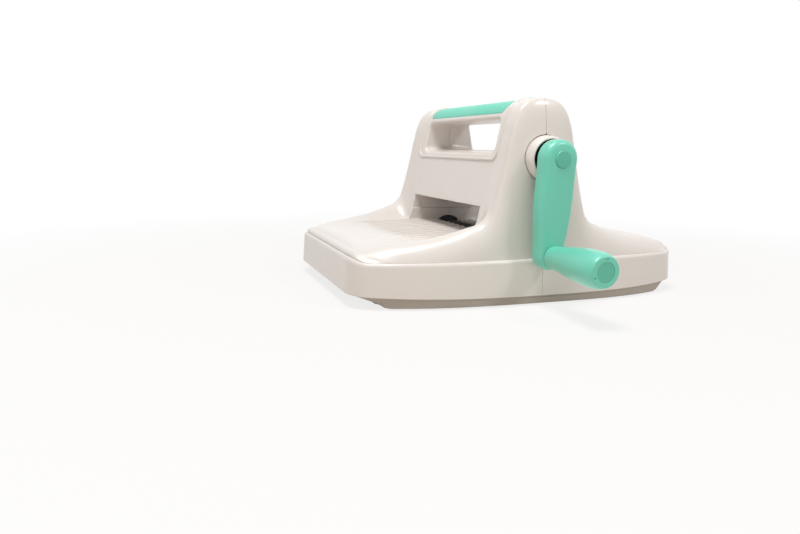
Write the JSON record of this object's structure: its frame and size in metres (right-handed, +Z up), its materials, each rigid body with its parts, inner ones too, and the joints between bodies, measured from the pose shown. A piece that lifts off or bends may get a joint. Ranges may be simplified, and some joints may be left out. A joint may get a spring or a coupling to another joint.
{
  "type": "die cutting machine",
  "caption": "Hand cranked tabletop die cutting machine: open feed trays, slotted tower with carry handle, geared rollers and a side crank.",
  "frame": {"origin": "on the table, under the middle of the whole machine's outline, crank and grip included", "axes": "+X along the crank shaft towards the crank, +Y in the feed direction from the front tray to the rear tray, +Z up"},
  "size_m": [0.3678, 0.3596, 0.1913],
  "materials": {
    "white_plastic": "glossy moulded, warm white",
    "mint_plastic": "satin moulded, mint green",
    "mint_cap": "satin moulded, darker mint green",
    "pan_plastic": "matte moulded, tan grey",
    "black_plastic": "matte moulded, black",
    "roller_black": "black coated steel",
    "rubber": "matte",
    "bronze": "sintered bearing bronze",
    "steel": "zinc plated and turned"
  },
  "bodies": {
    "base": {"base_pan": "pan_plastic", "bracket_post_front": "steel", "bracket_post_rear": "steel", "crank_bracket": "steel", "crank_bracket_bush": "bronze", "crank_collar": "white_plastic", "crank_plate_bush": "bronze", "foot_front_left": "rubber", "foot_front_right": "rubber", "foot_rear_left": "rubber", "foot_rear_right": "rubber", "frame_screw_front_left": "steel", "frame_screw_front_right": "steel", "frame_screw_rear_left": "steel", "frame_screw_rear_right": "steel", "front_shell": "white_plastic", "handle_strip": "mint_plastic", "high_front_tie": "steel", "high_rear_tie": "steel", "left_plate": "steel", "low_front_tie": "steel", "low_rear_tie": "steel", "lower_left_bush": "black_plastic", "lower_right_bush": "black_plastic", "rear_shell": "white_plastic", "right_plate": "steel", "shell_screw_front_left": "steel", "shell_screw_front_right": "steel", "shell_screw_rear_left": "steel", "shell_screw_rear_right": "steel", "upper_left_bush": "black_plastic", "upper_right_bush": "black_plastic"},
    "upper_roller_body": {"upper_roller": "roller_black", "drive_gear": "steel", "upper_sync_gear": "steel", "drive_gear_ring": "steel", "upper_sync_ring": "steel"},
    "lower_roller_body": {"lower_roller": "roller_black", "lower_sync_gear": "steel", "lower_sync_ring": "steel"},
    "crank_body": {"crank_shaft": "steel", "crank_pinion": "steel", "crank_arm": "mint_plastic", "crank_cap": "mint_cap", "crank_screw": "steel", "grip_pin": "steel"},
    "grip_body": {"crank_grip": "mint_plastic", "grip_cap": "mint_cap"}
  },
  "joints": [
    {"name": "crank_turn", "type": "hinge", "parent": "base", "child": "crank_body", "pos_m": [0, 0, 0.1365], "axis": [1, 0, 0], "continuous": true},
    {"name": "upper_roller_turn", "type": "hinge", "parent": "base", "child": "upper_roller_body", "pos_m": [0, 0, 0.096], "axis": [1, 0, 0], "continuous": true},
    {"name": "lower_roller_turn", "type": "hinge", "parent": "base", "child": "lower_roller_body", "pos_m": [0, 0, 0.0435], "axis": [1, 0, 0], "continuous": true},
    {"name": "grip_spin", "type": "hinge", "parent": "crank_body", "child": "grip_body", "pos_m": [0, -0.00426, 0.0494], "axis": [1, 0, 0], "continuous": true}
  ],
  "couplings": [
    {"joint": "upper_roller_turn", "follows": "crank_turn", "ratio": -0.31707},
    {"joint": "lower_roller_turn", "follows": "crank_turn", "ratio": 0.31707}
  ]
}
